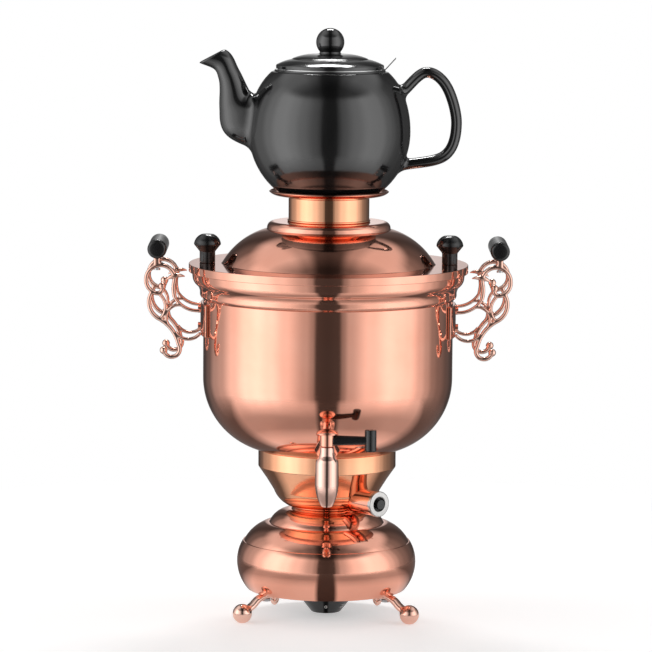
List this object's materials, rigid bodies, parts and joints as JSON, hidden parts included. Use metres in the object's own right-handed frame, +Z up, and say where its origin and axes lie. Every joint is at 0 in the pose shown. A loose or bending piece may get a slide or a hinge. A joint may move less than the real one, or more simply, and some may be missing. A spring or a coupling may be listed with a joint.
{
  "type": "electric samovar",
  "caption": "Polished copper electric table samovar on ball feet, with scrollwork side handles, a turn tap and a black porcelain teapot standing on its chimney plate.",
  "frame": {"origin": "the samovar's axis at the level of the table, between the three feet", "axes": "+Z up along the axis of bowl, chimney and teapot; -Y towards the tap; +X towards the teapot's handle, -X towards its spout"},
  "size_m": [0.3054, 0.2441, 0.493],
  "materials": {
    "copper": "mirror-polished copper plate",
    "porcelain": "black gloss glaze",
    "black_gloss": "polished black plastic",
    "black_moulding": "satin black moulding",
    "stainless": "satin stainless sheet",
    "steel": "zinc-plated fasteners",
    "plated": "bright nickel plate",
    "gasket": "moulded silicone",
    "cast_aluminium": "as cast"
  },
  "bodies": {
    "samovar": {"base_shell": "copper", "base_plate": "stainless", "feet": "copper", "foot_screws": "steel", "foot_nuts": "steel", "neck": "copper", "bowl": "copper", "heater_gasket": "gasket", "heater_plate": "stainless", "heating_ring": "cast_aluminium", "thermal_cutout": "black_moulding", "tie_rod": "steel", "clamp_washer": "stainless", "tie_nut": "steel", "thermostat": "black_moulding", "thermostat_screws": "steel", "inlet_housing": "black_moulding", "inlet_pins": "plated", "switch_sleeve": "copper", "switch_body": "black_moulding", "switch_bezel": "plated", "tap_body": "copper", "tap_boss": "copper", "tap_gasket": "gasket", "tap_nut": "copper", "handle_plate_right": "copper", "handle_plate_left": "copper", "handle_arms_right": "copper", "handle_arms_left": "copper", "grip_right": "black_gloss", "grip_left": "black_gloss", "grip_screws": "steel", "handle_screws": "steel", "handle_nuts": "steel"},
    "tap_valve": {"tap_plug": "copper", "tap_cap": "copper", "tap_lever": "black_gloss"},
    "thermostat_dial": {"dial": "black_gloss", "dial_spindle": "steel"},
    "switch_push": {"switch_button": "black_moulding"},
    "top_lid": {"lid": "copper", "chimney": "copper", "pot_plate": "copper", "lid_knobs": "black_gloss", "knob_screws": "steel"},
    "pot": {"teapot": "porcelain", "teapot_spout": "porcelain", "teapot_handle": "porcelain"},
    "leaf_strainer": {"strainer": "stainless"},
    "pot_cover": {"teapot_lid": "porcelain"}
  },
  "joints": [
    {"name": "tap_turn", "type": "hinge", "parent": "samovar", "child": "tap_valve", "pos_m": [0, -0.118, 0.16], "axis": [0, 0, 1], "range_deg": [-90, 0]},
    {"name": "thermostat_turn", "type": "hinge", "parent": "samovar", "child": "thermostat_dial", "pos_m": [0, 0, 0.01], "axis": [0, 0, 1], "range_deg": [0, 270]},
    {"name": "switch_press", "type": "slide", "parent": "samovar", "child": "switch_push", "axis": [-0.6428, 0.766, 0], "range_m": [0, 0.0025], "stiffness_N_per_m": 400, "springref_m": -0.002},
    {"name": "lid_lift", "type": "slide", "parent": "samovar", "child": "top_lid", "axis": [0, 0, 1], "range_m": [0, 0.08]},
    {"name": "teapot_lift", "type": "slide", "parent": "top_lid", "child": "pot", "axis": [0, 0, 1], "range_m": [0, 0.08]},
    {"name": "strainer_lift", "type": "slide", "parent": "pot", "child": "leaf_strainer", "axis": [0, 0, 1], "range_m": [0, 0.08]},
    {"name": "pot_lid_lift", "type": "slide", "parent": "leaf_strainer", "child": "pot_cover", "axis": [0, 0, 1], "range_m": [0, 0.05]}
  ]
}
